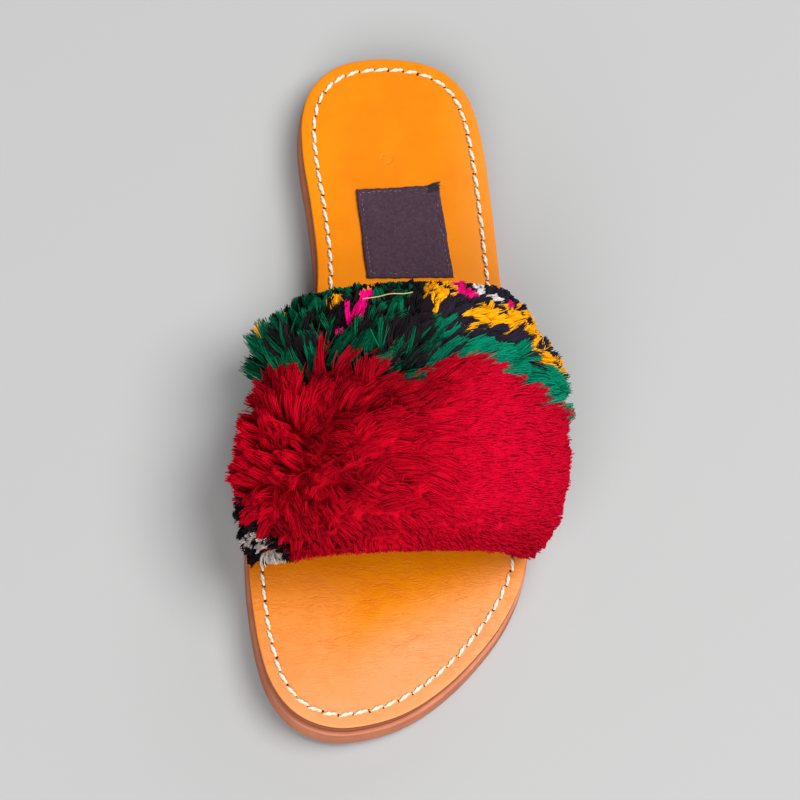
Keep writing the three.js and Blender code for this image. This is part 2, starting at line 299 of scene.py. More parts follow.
def spring(fromHeel):
    share = np.maximum(0, (fromHeel - toeSpring["start"]) / springRun)
    return toeSpring["rise"] * share**2


def onSole(flat, height):
    return np.stack([flat[:, 0], heelY - flat[:, 1], height + spring(flat[:, 1])], -1)


def soleLayer(name, profile, finish, slot):
    # profile: inset and height of each ring, from the lower face round the edge to the upper face
    closing = spineRing()
    flats = [(stationRing(inset), height) for inset, height in profile]
    low, high = flats[0], flats[-1]
    shares = (0.25, 0.5, 0.75, 1)
    lower = [(low[0] + (closing - low[0]) * s, low[1]) for s in reversed(shares)]
    upper = [(high[0] + (closing - high[0]) * s, high[1]) for s in shares]
    rings = [onSole(flat, height) for flat, height in lower + flats + upper]
    faces = gridFaces(len(rings), stations * 2, True)
    weld(piece(name, np.vstack(rings), faces, finish, slot))


# Leathers

insole = {
    "profile": [
        (4, 11.3), (0.5, 11.3), (0.15, 11.36), (0.02, 11.6), (0, 12.2), (0, 13.2), (0.12, 13.45),
        (0.14, 13.85), (0, 14.1), (0, 14.4), (0.1, 14.6), (0.35, 14.7), (0.8, 14.74), (2.2, 14.76),
        (3.4, 14.72), (4.1, 14.6), (4.7, 14.48), (5.3, 14.54), (6.0, 14.66), (8, 14.7), (11, 14.7),
    ],
    "creaseHalf": 0.55,
    "ring": (1.0, 91.5, 14.7),  # middle of the pressed ring
    # the cut edge from the top down: heights between which each colour sets in; a painted highlight on the
    # arris, a painted shadow line in the groove under it, then the stain
    "edge": [
        (14.45, 14.2, tone(226, 140, 78)), (14.2, 14.0, tone(112, 50, 30)), (13.5, 13.2, tone(150, 82, 56)),
    ],
}
# each tone set: body, low, high, rim
midsole = {
    "profile": [
        (6, 8.7), (1.0, 8.7), (0.65, 8.78), (0.6, 9.0), (0.6, 10.7), (0.65, 10.92), (1.0, 11.0), (6, 11.0),
    ],
    "tones": (tone(150, 82, 58), tone(126, 64, 44), tone(164, 94, 68), tone(150, 82, 58)),
}
outsole = {
    "profile": [
        (6, 0), (0.4, 0), (-0.2, 0.08), (-0.55, 0.4), (-0.7, 0.9), (-0.55, 2.8), (-0.68, 4.6), (-0.58, 6.6),
        (-0.7, 7.6), (-0.6, 8.15), (-0.2, 8.37), (0.4, 8.4), (6, 8.4),
    ],
    "tones": (tone(186, 114, 84), tone(160, 92, 64), tone(204, 136, 104), tone(214, 152, 116)),
}
# soft creases of the forefoot: x of the middle, from the heel, half length, tilt, depth
creases = [
    (-30, 214.3, 7.5, 0.0, 1.0), (-27, 217.0, 7.5, 0.05, 0.8), (-23, 220.8, 6.5, 0.0, 0.9),
    (-20, 223.5, 6.0, -0.05, 1.0), (-16, 226.0, 5.5, 0.0, 0.7), (-8, 218.0, 8.5, -0.12, 0.8),
    (-21, 233.0, 7.0, -0.23, 0.8), (-23, 241.0, 5.0, -0.2, 0.7), (-7, 241.5, 7.0, -0.14, 0.8),
    (-25, 247.5, 4.5, 0.1, 0.6), (15, 211.0, 5.0, -0.5, 0.9), (27, 215.7, 7.0, -0.33, 1.0),
    (0, 225.0, 4.0, 0.0, 0.7), (5, 222.5, 6.5, -0.1, 0.8), (7, 233.0, 6.0, -0.5, 0.9),
    (26, 210.4, 7.0, -0.05, 0.8), (-2, 211.5, 9.0, 0.05, 0.7), (18, 226.0, 6.0, -0.35, 0.6),
]


def creaseRelief(spot):
    # 1 in the deepest trough, falling off softly to both sides and to both ends
    x, fromHeel = spot.part(0), heelY - spot.part(1) + (spot.noise(4, 2) - 0.5) * 3
    relief = 0 * x
    for middle, start, half, tilt, depth in creases:
        along = (x - middle) * (1 / half)
        over = (fromHeel - start - (x - middle) * tilt) * (1 / insole["creaseHalf"])
        relief = relief + (1 - along * along).above(0) * (1 - over * over).above(0) * depth
    return relief


def insoleFinish():
    material, start, shader = newFinish("tan insole leather", 0.1)
    spot = start.place()
    x, toToe = spot.part(0), spot.part(1) * -1
    lift = ((toToe + (heelY - toeSpring["start"])) * (1 / springRun)).above(0)
    height = spot.part(2) - lift * lift * toeSpring["rise"]
    cloud = spot.noise(30, 4, 0.6)
    mottle = spot.noise(5, 4, 0.65)
    fleck = spot.noise(1.6, 3, 0.6)
    deep, light = tone(202, 109, 0), tone(210, 120, 0)
    colour = cloud.rise(0.3, 0.7).mix(deep, light)
    # painted sheen: lighter and pinker towards the toe, most of all at the outer side
    inner = ((toToe - 71) * (1 / 62)).above(0)
    outer = (toToe + x * 0.6).rise(84, 114)
    paintedSheen = inner + (outer - inner) * x.rise(-24, -4)
    colour = (paintedSheen + (cloud - 0.5) * 0.4 * toToe.rise(70, 100)).mix(colour, tone(212, 140, 88))
    # painted sheen: paler on the outer side of the heel, fading out towards the toe
    colour = (x.rise(20, 38) * (1 - toToe.rise(-60, 40)) * 0.45).mix(colour, tone(206, 128, 52))
    colour = (mottle.rise(0.5, 0.78) * 0.22).mix(colour, tone(216, 122, 30))
    colour = (fleck.rise(0.6, 0.85) * (0.14 + 0.2 * toToe.rise(40, 80))).mix(colour, tone(190, 88, 8))
    # fine wrinkles across the forefoot, with the creases among them; painted shade darkens the colour in
    # their troughs
    crease = creaseRelief(spot)
    ripple = spot.stretch((0.4, 1, 1)).noise(2.1, 3, 0.6, 0.8) - 0.5
    wrinkle = (1 - ripple.math("ABSOLUTE", ripple, 0) * 9).above(0)
    forefoot = toToe.rise(56, 76) * (1 - 0.6 * toToe.rise(100, 124)) * mottle.rise(0.3, 0.6)
    colour = ((wrinkle * 0.24 + crease * 0.26) * forefoot).mix(colour, tone(196, 90, 8))
    # faint pressed ring on the heel
    ends = {0: spot, 1: insole["ring"]}
    away = spot.node("ShaderNodeVectorMath", {"operation": "DISTANCE"}, ends, "Value")
    ring = away.rise(1.2, 1.7) * away.rise(2.6, 2.1)
    colour = (ring * 0.22).mix(colour, tone(222, 124, 24))
    # the cut edge: a pale arris of painted highlight, a dark line of painted shadow in the groove under it,
    # then stained brown
    for top, low, shade in insole["edge"]:
        colour = height.rise(top, low).mix(colour, shade)
    relief = spot.noise(0.5, 3, 0.6) * 0.4 - (wrinkle * 0.9 + crease * 0.9) * forefoot - ring * 1.2
    feed(shader, {
        "Base Color": colour,
        "Roughness": 0.32 + cloud * 0.12 + fleck * 0.12,
        "Normal": (relief + mottle * 0.5).bump(0.5, 0.28),
    })
    return material


def soleFinish(name, body, low, high, rim):
    # stacked sole leather: layered and rough along its edge, paler at the lower rim
    material, start, shader = newFinish(name, 0.25)
    spot = start.place()
    layer = spot.stretch((0.06, 0.06, 1.6)).noise(1.4, 4, 0.65)
    patch = spot.noise(14, 3, 0.55)
    pit = spot.noise(0.9, 4, 0.7)
    colour = (patch.rise(0.3, 0.7) * 0.6).mix(body, low)
    colour = (layer.rise(0.45, 0.75) * 0.5).mix(colour, high)
    colour = (pit.rise(0.55, 0.8) * 0.35).mix(colour, low)
    colour = (spot.part(2).rise(1.6, 0.3) * 0.6).mix(colour, rim)
    feed(shader, {
        "Base Color": colour,
        "Roughness": 0.55 + layer * 0.25,
        "Normal": (layer * 0.8 + pit * 0.7).bump(0.6, 0.35),
    })
    return material


soleLayer("insoleLeather", insole["profile"], insoleFinish(), "insole")
soleLayer("midsoleLayer", midsole["profile"], soleFinish("midsole leather", *midsole["tones"]), "midsole")
soleLayer("outsoleLeather", outsole["profile"], soleFinish("outsole leather", *outsole["tones"]), "outsole")
print("sole built")


# Strap

# values at the back edge, the middle and the front edge of the band
bandRows = {
    "innerFoot": (102, 152.5, 203), "outerFoot": (99, 149, 199), "height": (51, 45, 36),
    "innerBulge": (11, 6, 2), "outerBulge": (7, 11, 7), "crownShift": (-2, -2, -2),
}
band = {
    "thickness": 3, "slotInset": 5.2, "lean": math.tan(math.radians(20)), "squareness": 2.3,
    "width": 101, "arch": 125, "columns": 72, "rows": 40, "lining": 0.9,
    "innerCorner": 4.5, "outerCorner": 1.8,  # how far the back corners are drawn towards the toe
    "setBack": 0.012,  # share of the width that the lining stays back from the edges
}
slotInner, slotOuter = edgeSides(band["slotInset"] + band["thickness"])


def bandValue(name, v):
    back, middle, front = bandRows[name]
    return back * (1 - v) * (1 - 2 * v) + middle * 4 * v * (1 - v) + front * v * (2 * v - 1)


def bandPoint(u, v):
    # inner face of the band: u over the arch from inner to outer foot, v from the back to the front edge
    innerFoot, outerFoot = bandValue("innerFoot", v), bandValue("outerFoot", v)
    innerX = np.interp(innerFoot, slotInner[:, 1], slotInner[:, 0])
    outerX = np.interp(outerFoot, slotOuter[:, 1], slotOuter[:, 0])
    angle = np.pi * (1 - u)
    power = 2 / band["squareness"]
    sine = np.maximum(0, np.sin(angle)) ** power
    cosine = np.sign(np.cos(angle)) * np.abs(np.cos(angle)) ** power
    height = bandValue("height", v) * sine
    bulge = np.where(cosine < 0, -bandValue("innerBulge", v), bandValue("outerBulge", v))
    side = (1 + cosine) / 2
    swell = bulge * np.sin(np.pi * np.minimum(1, sine)) + bandValue("crownShift", v) * sine
    x = innerX + (outerX - innerX) * side + swell
    corner = band["innerCorner"] + (band["outerCorner"] - band["innerCorner"]) * side
    fromHeel = innerFoot + (outerFoot - innerFoot) * side + band["lean"] * height
    fromHeel = fromHeel + corner * (1 - sine) * (1 - v) ** 2
    return np.stack([x, heelY - fromHeel, footbed + height], -1)


def bandFrame(u, v):
    # directions across the arch, forward to the toe and out from the foot
    step = 0.004
    across = unit(bandPoint(np.minimum(1, u + step), v) - bandPoint(np.maximum(0, u - step), v))
    forward = unit(bandPoint(u, v + step) - bandPoint(u, v - step))
    return across, forward, unit(np.cross(forward, across))


def bandOut(u, v, distance):
    return bandPoint(u, v) + bandFrame(u, v)[2] * np.asarray(distance)[..., None]


def bandPlaces(rows, columns, setBack=0.0, hem=0.0):
    # places all over the band, row after row from the back edge
    overWidth, overArch = np.linspace(setBack, 1 - setBack, rows), np.linspace(hem, 1 - hem, columns)
    v, u = np.meshgrid(overWidth, overArch, indexing="ij")
    return u.ravel(), v.ravel()


def bandGrid(places, distance):
    # points of the band, each a distance off its inner face
    return bandOut(*places, distance(*places))


def clothFinish(name, warp, weft, thread, specular, edge=None):
    # plain weave: two crossing sets of threads, warp along the strap and weft over it
    material, start, shader = newFinish(name, specular)
    spot = start.place()
    wander = spot.noise(9, 2) * 1.2
    along = (spot.part(1) + wander) * (2 * math.pi / thread)
    over = (spot.part(0) + spot.part(2) + wander) * (2 * math.pi / thread)
    mask = (along.math("SINE", along, 0) * over.math("SINE", over, 0)).rise(-0.4, 0.4)
    fuzz = spot.noise(0.5, 3, 0.7)
    colour = mask.mix(warp, weft)
    colour = (fuzz.rise(0.35, 0.7) * 0.5).mix(colour, tone(40, 28, 30))
    colour = (spot.noise(1.4, 3, 0.7).rise(0.42, 0.6) * 0.75).mix(colour, weft)
    if edge:
        share = start.node("ShaderNodeAttribute", {"attribute_name": "width"}, {}, "Fac")
        colour = share.rise(0.93, 0.97).mix(share.rise(0.07, 0.03).mix(colour, edge[0]), edge[1])
    height = mask * 0.6 + fuzz * 0.5
    feed(shader, {"Base Color": colour, "Roughness": 0.8 + fuzz * 0.15, "Normal": height.bump(0.6, 0.25)})
    return material


def strapPieces():
    # ground cloth under the pile, its edges covered with wool, and a lining set back a little from them
    rows, columns = band["rows"], band["columns"]
    outer, split = band["thickness"], band["lining"]

    def rounded(depth, pull):
        # the edges of the sheet turn in towards its middle
        return lambda u, v: depth + pull * (1 - ease(np.minimum(v, 1 - v), 0, 0.02))

    whole, within = bandPlaces(rows, columns), bandPlaces(rows, columns, band["setBack"])
    ground = np.vstack([bandGrid(whole, rounded(outer, -0.8)), bandGrid(whole, rounded(split + 0.05, -0.7))])
    lining = np.vstack([bandGrid(within, rounded(split, -0.4)), bandGrid(within, rounded(0, 0))])
    faces = sheetFaces(rows, columns)[:, ::-1]
    width = np.tile(np.repeat(np.linspace(0, 1, rows), columns), 2)
    edge = (tone(20, 44, 34), tone(150, 0, 24))
    weave = clothFinish("strap ground weave", tone(122, 96, 74), tone(92, 66, 56), 1.5, 0.2, edge)
    back = clothFinish("strap lining", tone(206, 178, 140), tone(186, 154, 116), 0.9, 0.2)
    piece("strapGround", ground, faces, weave, "strap_band", {"width": width})
    piece("strapLining", lining, faces, back, "strap_band")


strapPieces()
print("strap built")


# Wool pile

pile = {
    "rows": 48, "columns": 58, "strands": 15, "rimDepth": 0.3, "depth": 3, "radius": 0.27, "tip": 0.15,
    "whorlArch": 0.115, "whorlBand": 0.66, "run": 33, "backward": 1.6, "droop": -0.2, "stray": 0.05,
    "finger": 5.2, "gather": 0.7, "nap": 0.38, "loft": 0.45,
    "edge": 0.12,  # share of the width over which the pile thins out
    "sideways": (0.4, 0.72),  # shares of the arch between which the strands turn to the outer foot
    "leanScatter": (21, 16), "spinScatter": (26, 20),  # degrees, and how much combing takes off them
    "jitter": (0.004, 0.006), "blackInGreen": (0.22, 0.03), "blackInYellow": 0.19,
}
# shades of the locks: how far they vary at random, and how much lighter or darker they are in some places
# painted light round the whorl, painted shade at the front, behind the red's back line and at the root; over
# the crown a little darker
shading = {
    "middle": 0.68, "finger": 0.13, "lock": 0.07, "strand": 0.12, "root": 0.26,
    "whorl": 0.27, "front": -0.38, "border": -0.6, "crown": -0.12,
}
mat = {"rows": 84, "columns": 120, "hem": 0.012, "rim": 0.25, "depth": 3.2, "under": 0.1, "shade": 0.66}
# at shares of the arch: how far the strands lean, and how long they are at shares of the width
lie = {
    "arch": (0, 0.12, 0.3, 0.5, 0.65, 0.85, 1),
    "lean": (20, 45, 55, 66, 70, 66, 30),
    "length": {
        0.0: (2, 2, 2, 1.4, 1.2, 1, 1),
        0.15: (17, 12, 8, 7, 6, 5, 6),
        0.3: (20.5, 20.5, 15.5, 13, 11, 11.5, 12.5),
        0.42: (12, 14, 15.5, 14, 12, 13, 13),
        0.68: (12.5, 13.5, 14, 14, 13, 14.5, 12),
        0.85: (6, 8.5, 10, 10, 10, 11, 9.5),
        0.93: (6, 7, 6, 4.6, 4.5, 7, 6.5),
        1.0: (6, 5.5, 3.5, 2, 1.2, 2.5, 2.5),
    },
}
# short wool on the cut edges; its length changes over the arch
edgeWool = {
    "strands": 1700, "radius": 0.22, "depth": (0.2, 2.5), "inset": 0.003,
    "arch": (0, 0.16, 0.24, 0.34, 0.5, 0.72, 0.86, 1),
    "back": (1.3, 1.3, 1.3, 1.2, 0.9, 0.9, 1.1, 1.1),
    "front": (2.2, 3.2, 3.4, 1.9, 1.2, 0.7, 1.3, 1.3),
}
looseThread = {"arch": (0.365, 0.485), "band": (0.083, 0.066), "height": 7.2, "radius": 0.2}
# red in front of this line, green behind it
colourLine = {
    "arch": (0, 0.14, 0.225, 0.28, 0.34, 0.42, 0.455, 0.5, 0.55, 0.61, 0.71, 0.8, 0.9, 1),
    "band": (0.38, 0.385, 0.4, 0.37, 0.355, 0.36, 0.405, 0.38, 0.345, 0.305, 0.375, 0.465, 0.55, 0.6),
}
# patches of other wools, each an outline of places on the strap: share of the arch, share of the width
chart = [
    ("black", [(0.54, 0.22), (0.6, 0.1), (0.66, -0.1), (1.1, -0.1), (1.1, 0.33), (0.92, 0.38),
               (0.83, 0.345), (0.74, 0.285), (0.66, 0.245), (0.58, 0.245)]),
    ("yellow", [(0.57, 0.205), (0.635, 0.125), (0.68, 0.1), (0.71, 0.11), (0.72, 0.14), (0.735, 0.1),
                (0.8, 0.085), (0.88, 0.12), (0.9, 0.18), (0.83, 0.205), (0.76, 0.21), (0.7, 0.19),
                (0.62, 0.21)]),
    ("yellow", [(0.74, 0.2), (0.785, 0.215), (0.84, 0.25), (0.9, 0.3), (0.91, 0.34), (0.86, 0.335),
                (0.805, 0.3), (0.755, 0.265), (0.735, 0.235)]),
    ("black", [(0.475, 0.0), (0.66, 0.0), (0.6, 0.12), (0.56, 0.16), (0.53, 0.12), (0.485, 0.17)]),
    ("yellow", [(0.505, -0.1), (0.6, -0.1), (0.605, 0.03), (0.59, 0.085), (0.565, 0.1),
                (0.545, 0.135), (0.515, 0.1)]),
    ("pink", [(0.605, -0.1), (0.65, -0.1), (0.655, 0.03), (0.67, 0.075), (0.64, 0.09), (0.605, 0.06)]),
    ("white", [(0.655, -0.1), (0.715, -0.1), (0.715, 0.03), (0.74, 0.06), (0.757, 0.09),
               (0.73, 0.105), (0.685, 0.07)]),
    ("pink", [(0.75, 0.065), (0.78, 0.07), (0.775, 0.1), (0.757, 0.095)]),
    ("black", [(0.47, 0.17), (0.475, 0.1), (0.505, 0.1), (0.515, 0.2), (0.5, 0.28), (0.475, 0.33),
               (0.44, 0.3), (0.435, 0.21)]),
    ("black", [(0.285, 0.13), (0.35, 0.0), (0.388, 0.0), (0.385, 0.15), (0.37, 0.25), (0.33, 0.29),
               (0.29, 0.25)]),
    ("pink", [(0.345, 0.06), (0.378, 0.07), (0.356, 0.17), (0.342, 0.205), (0.318, 0.2), (0.322, 0.14)]),
    ("pink", [(0.296, 0.2), (0.314, 0.205), (0.31, 0.235), (0.298, 0.235)]),
    ("yellow", [(0.345, 0.0), (0.378, 0.0), (0.376, 0.06), (0.35, 0.055)]),
    ("yellow", [(0.255, 0.09), (0.3, 0.06), (0.325, 0.07), (0.318, 0.11), (0.285, 0.125)]),
    ("black", [(0.19, 0.25), (0.23, 0.22), (0.255, 0.26), (0.245, 0.32), (0.21, 0.34), (0.195, 0.3)]),
    ("yellow", [(0.115, 0.235), (0.15, 0.24), (0.145, 0.275), (0.12, 0.27)]),
    ("black", [(-0.1, 0.79), (0.08, 0.79), (0.13, 0.83), (0.165, 0.9), (0.1, 0.93), (-0.1, 0.9)]),
    ("white", [(-0.1, 0.89), (0.1, 0.915), (0.16, 0.915), (0.2, 0.935), (0.18, 0.95), (0.1, 0.94),
               (-0.1, 0.92)]),
    ("black", [(-0.1, 0.92), (0.1, 0.94), (0.18, 0.95), (0.21, 0.935), (0.245, 0.955),
               (0.24, 1.1), (-0.1, 1.1)]),
    ("white", [(0.12, 0.972), (0.18, 0.968), (0.205, 0.99), (0.18, 1.1), (0.12, 1.1)]),
]
# each wool: its piece in the model, then its dark, light and outer-side tones; the outer-side tone is painted
# sheen
wools = {
    "red": ("pile_red", tone(152, 0, 22), tone(199, 0, 32), tone(192, 0, 40)),
    "green": ("pile_green", tone(0, 32, 22), tone(2, 104, 70), tone(2, 134, 102)),
    "black": ("pile_green", tone(14, 10, 12), tone(34, 27, 31), tone(42, 37, 52)),
    "yellow": ("pile_green", tone(214, 130, 2), tone(248, 174, 12), tone(248, 174, 10)),
    "pink": ("pile_green", tone(200, 0, 98), tone(246, 6, 130), tone(226, 16, 110)),
    "white": ("pile_green", tone(176, 164, 158), tone(228, 218, 210), tone(236, 230, 226)),
}


def droop(ways):
    ways = ways.copy()
    ways[:, 2] = np.maximum(ways[:, 2], pile["droop"])
    return unit(ways)


def strandLength(u, v):
    stops = list(lie["length"])
    rows = [np.interp(u, lie["arch"], lie["length"][stop]) for stop in stops]
    spans = zip(stops, stops[1:], rows, rows[1:])
    return rows[0] + sum((b - a) * ease(v, low, high) for low, high, a, b in spans)


def redShare(u, v):
    # how far a place lies in front of the line between green and red
    return v - np.interp(u, colourLine["arch"], colourLine["band"])


def sideways(u):
    # 0 where the strands fall away from the whorl, 1 where they all lie towards the outer foot
    return ease(u, *pile["sideways"])


def combed(u, v):
    # 1 where the strands are combed flat, less so behind the red
    return sideways(u) * (0.35 + 0.65 * ease(redShare(u, v), -0.04, 0.04))


def rimShare(u, v):
    # 0 at the strap's edges and feet, 1 away from them
    return np.minimum(ease(np.minimum(v, 1 - v), 0, 0.1), ease(np.minimum(u, 1 - u), 0, 0.06))


def napShare(u, v):
    # 1 where the red is combed flat into a short even nap
    return combed(u, v) * ease(redShare(u, v), 0, 0.07) * rimShare(u, v)


def inside(u, v, corners):
    # a place lies inside an outline if a line from it crosses the outline an odd number of times
    odd = np.zeros(len(u), dtype=bool)
    for (a, b), (c, d) in zip(corners, corners[1:] + corners[:1]):
        if b != d:
            odd ^= ((b > v) != (d > v)) & (u < a + (c - a) * (v - b) / (d - b))
    return odd


def woolAt(u, v):
    # the wool of each knot: red and green fields, black mixed into the green, then the patches
    u, v = (value + rng.normal(0, jitter, len(value)) for value, jitter in zip((u, v), pile["jitter"]))
    names = np.where(redShare(u, v) > 0, "red", "green").astype(object)
    black = np.interp(u, (0.5, 0.7), pile["blackInGreen"])
    names[(names == "green") & (rng.random(len(u)) < black)] = "black"
    for wool, corners in chart:
        names[inside(u, v, corners)] = wool
    names[(names == "yellow") & (rng.random(len(u)) < pile["blackInYellow"])] = "black"
    return names


def growPile():
    r, c = np.meshgrid(np.arange(pile["rows"]), np.arange(pile["columns"]), indexing="ij")
    u = ((c + 0.25 + 0.5 * (r % 2) + rng.uniform(-0.3, 0.3, r.shape)) / pile["columns"]).ravel()
    v = ((r + 0.5 + rng.uniform(-0.3, 0.3, r.shape)) / pile["rows"]).ravel()
    knots, strands = len(u), pile["strands"]
    across, forward, out = bandFrame(u, v)

    # neighbouring locks stick together in fingers, each with a lean, length and shade of its own
    cells = np.stack([u * band["arch"], v * band["width"]]) / pile["finger"] + rng.normal(0, 0.12, (2, knots))
    group = np.floor(cells[0] + 2).astype(int) + 100 * np.floor(cells[1] + 2).astype(int)
    fingers = group.max() + 1

    def scatter(shared, own):
        return shared * rng.normal(0, 1, fingers)[group] + own * rng.normal(0, 1, knots)

    # locks fall away from the whorl; towards the outer foot they are combed flat and sideways
    comb = combed(u, v)

    def turned(degrees, tamed):
        return scatter(0.85, 0.45) * np.radians(degrees - tamed * comb)

    aside = (u - pile["whorlArch"]) * band["arch"]
    fallAcross = aside * (0.55 + 0.45 * ease(np.abs(aside), 8, 40))
    backward = np.where(v < pile["whorlBand"], pile["backward"], 1)
    fallForward = (v - pile["whorlBand"]) * band["width"] * (1 - 0.85 * sideways(u)) * backward
    fallForward = fallForward + 30 * ease(v, 0.84, 1.0)
    reach = np.hypot(fallAcross, fallForward)
    lean = np.radians(ease(reach, 0, pile["run"]) * np.interp(u, lie["arch"], lie["lean"]))
    lean = lean * (0.3 + 0.7 * ease(v, -0.03, 0.16)) * (1 - 0.3 * (sideways(u) - comb))
    lean = lean + turned(*pile["leanScatter"])
    along = unit(across * (fallAcross / reach)[:, None] + forward * (fallForward / reach)[:, None])
    spin = turned(*pile["spinScatter"])
    along = along * np.cos(spin)[:, None] + unit(np.cross(out, along)) * np.sin(spin)[:, None]
    axis = droop(out * np.cos(lean)[:, None] + along * np.sin(lean)[:, None])
    out = droop(out)

    # roots stand further off the band away from its edges, and further still in the nap
    nap, full = napShare(u, v), strandLength(u, v)
    fromEdge = ease(np.minimum(v, 1 - v), 0, pile["edge"])
    lift = 0.75 * nap * pile["nap"] * full
    rootDepth = band["thickness"] + pile["rimDepth"] + pile["depth"] * fromEdge + lift
    root = bandPoint(u, v) + out * rootDepth[:, None]

    # the ends of a finger's locks draw together, less so at the edges
    length = full * (1 - 0.6 * nap) * rng.uniform(0.92, 1.04, knots)
    length = length * rng.uniform(0.84, 1.08, fingers)[group]
    ends = root + axis * length[:, None]
    members = np.maximum(1, np.bincount(group))
    shared = np.stack([np.bincount(group, ends[:, i]) / members for i in range(3)], -1)[group]
    pull = pile["gather"] * (1 - comb) * rng.uniform(0.5, 1.1, knots) * fromEdge
    gather = (shared - ends) * pull[:, None]

    # strands of each lock spread at the root and draw together a little towards its tip
    k = np.repeat(np.arange(knots), strands)
    count = len(k)
    step = np.array([0, 0.4, 0.75, 1.0])
    bend, sweep = (step * (1 - step))[:, None], (step**2)[:, None]
    width = rng.uniform(0.7, 1.1, knots) * (1 - comb) + 1.4 * comb
    spread = rng.uniform(-0.5, 0.5, (count, 2)) * width[k][:, None]
    foot = root[k] + across[k] * (spread[:, :1] * band["arch"] / pile["columns"])
    foot = foot + forward[k] * (spread[:, 1:] * band["width"] / pile["rows"])
    stray = rng.random(count) < pile["stray"]
    own = (length[k] * rng.uniform(0.86, 1.04, count))[:, None, None]
    ways = droop(axis[k] + rng.normal(0, 1, (count, 3)) * np.where(stray, 0.22, 0.06)[:, None])
    path = foot[:, None] + own * (out[k][:, None] * bend + ways[:, None] * sweep)
    mate = root[k][:, None] + own * (out[k][:, None] * bend + axis[k][:, None] * sweep)
    clump = (0.6 - 0.45 * comb[k]) * (0.4 + 0.6 * ease(u[k], 0.02, 0.16)) * rng.uniform(0.6, 1.0, count)
    clump[stray] *= 0.3
    path = path + (mate - path) * clump[:, None, None] * (step**1.3)[:, None] + gather[k][:, None] * sweep
    taper = np.interp(step, (0, 0.6, 1), (1, 0.95, pile["tip"] / pile["radius"]))
    radii = pile["radius"] * rng.uniform(0.75, 1.15, count)[:, None] * taper * (1 + 0.35 * nap[k])[:, None]

    # each lock and strand has its own shade at random, and painted shade makes it darker at its root
    lockToneAndPaintedLight = scatter(shading["finger"], shading["lock"]) * (1 - 0.8 * comb)
    # painted light lightens the locks round the whorl; painted shade darkens them at the front and behind the
    # red's back line; over the crown they are a little darker
    places = {
        "whorl": ease(reach, 30, 8),
        "front": ease(v, 0.8, 0.95),
        "border": ease(v, 0.6, 0.36) * ease(redShare(u, v), -0.01, 0.01) * (1 - sideways(u)),
        "crown": ease(u, 0.2, 0.32) * ease(u, 0.62, 0.45),
    }
    for place, share in places.items():
        lockToneAndPaintedLight = lockToneAndPaintedLight + shading[place] * share
    shade = shading["middle"] + lockToneAndPaintedLight[k] + (shading["strand"] - 0.07 * comb[k]) * rng.normal(0, 1, count)
    shade = shade[:, None] - (shading["root"] - 0.2 * comb[k])[:, None] * (1 - step) ** 1.5
    return u[k], woolAt(u, v)[k], path, radii, np.clip(shade, 0, 1)


def growEdges():
    # short strands stand on the strap's two cut edges, in the wools of the knots beside them
    count = edgeWool["strands"]
    v = np.repeat([edgeWool["inset"], 1 - edgeWool["inset"]], count)
    u = rng.uniform(0.02, 0.98, len(v))
    across, forward, out = bandFrame(u, v)
    root = bandOut(u, v, rng.uniform(*edgeWool["depth"], len(v)))
    lean = rng.normal(0, 0.4, (len(v), 2))
    axis = unit(forward * np.sign(v - 0.5)[:, None] + out * (0.25 + lean[:, :1]) + across * lean[:, 1:])
    step = np.linspace(0, 1, 4)
    back, front = (np.interp(u, edgeWool["arch"], edgeWool[edge]) for edge in ("back", "front"))
    length = np.where(v < 0.5, back, front) * rng.uniform(0.7, 1.15, len(v))
    path = root[:, None] + axis[:, None] * (length[:, None] * step)[:, :, None]
    radii = edgeWool["radius"] * rng.uniform(0.8, 1.15, len(v))[:, None] * np.interp(step, (0, 1), (1, 0.6))
    # painted shade: darker towards the root, lighter towards the tip
    shade = 0.4 + 0.14 * rng.normal(0, 1, len(v))[:, None] + 0.2 * step
    return u, woolAt(u, v), path, radii, np.clip(shade, 0, 1)


def woolFinish(name, dark, light, side):
    # each strand has its own shade, lighter towards its tip as painted shade darkens its root; on the outer
    # side a painted sheen turns the nap to another shade
    material, start, shader = newFinish(name, 0.06, 0.9)
    spot = start.place()
    shade = start.node("ShaderNodeAttribute", {"attribute_name": "shade"}, {}, "Fac")
    # painted sheen: towards the outer side the light tone turns to the side tone, as the light catches the
    # nap there
    high = spot.part(0).rise(-4, 40).mix(light, side)
    fleck = spot.noise(1.2, 2) * 0.4
    nap = spot.stretch((0.4, 1, 1)).noise(0.5, 3, 0.6)
    feed(shader, {
        "Base Color": (shade + fleck - 0.2).rise(0.0, 0.9).mix(dark, high),
        "Normal": nap.bump(0.6, 0.3),
    })
    return material


def pileMat(name, wool, front):
    # matted base under the strands, thinner at its rim; in the red it fills them up, most where they lie flat
    slot, *tones = wools[wool]
    places = bandPlaces(mat["rows"], mat["columns"], 0, mat["hem"])
    u, v = places

    def fill(u, v):
        loft = pile["loft"] * (1 - combed(u, v)) * ease(redShare(u, v), 0, 0.07) * rimShare(u, v)
        return loft + napShare(u, v)

    def depth(u, v):
        rise = pile["nap"] * fill(u, v) * strandLength(u, v) * rng.uniform(0.8, 1, len(u))
        return band["thickness"] + mat["rim"] + mat["depth"] * rimShare(u, v) + rise

    top = bandGrid(places, depth)
    low = bandGrid(places, lambda u, v: np.full(len(u), band["thickness"] + mat["under"]))
    field = (redShare(u, v) > 0) == front
    faces = sheetFaces(mat["rows"], mat["columns"])[:, ::-1]
    faces = faces[np.tile(field, 2)[faces].mean(1) >= 0.5]
    # painted shade: the mat is dark where it lies deep among the strands, lighter where it fills them up
    shade = np.tile(mat["shade"] * fill(u, v), 2)
    piece(name, np.vstack([top, low]), faces, woolFinish(name, *tones), slot, {"shade": shade})


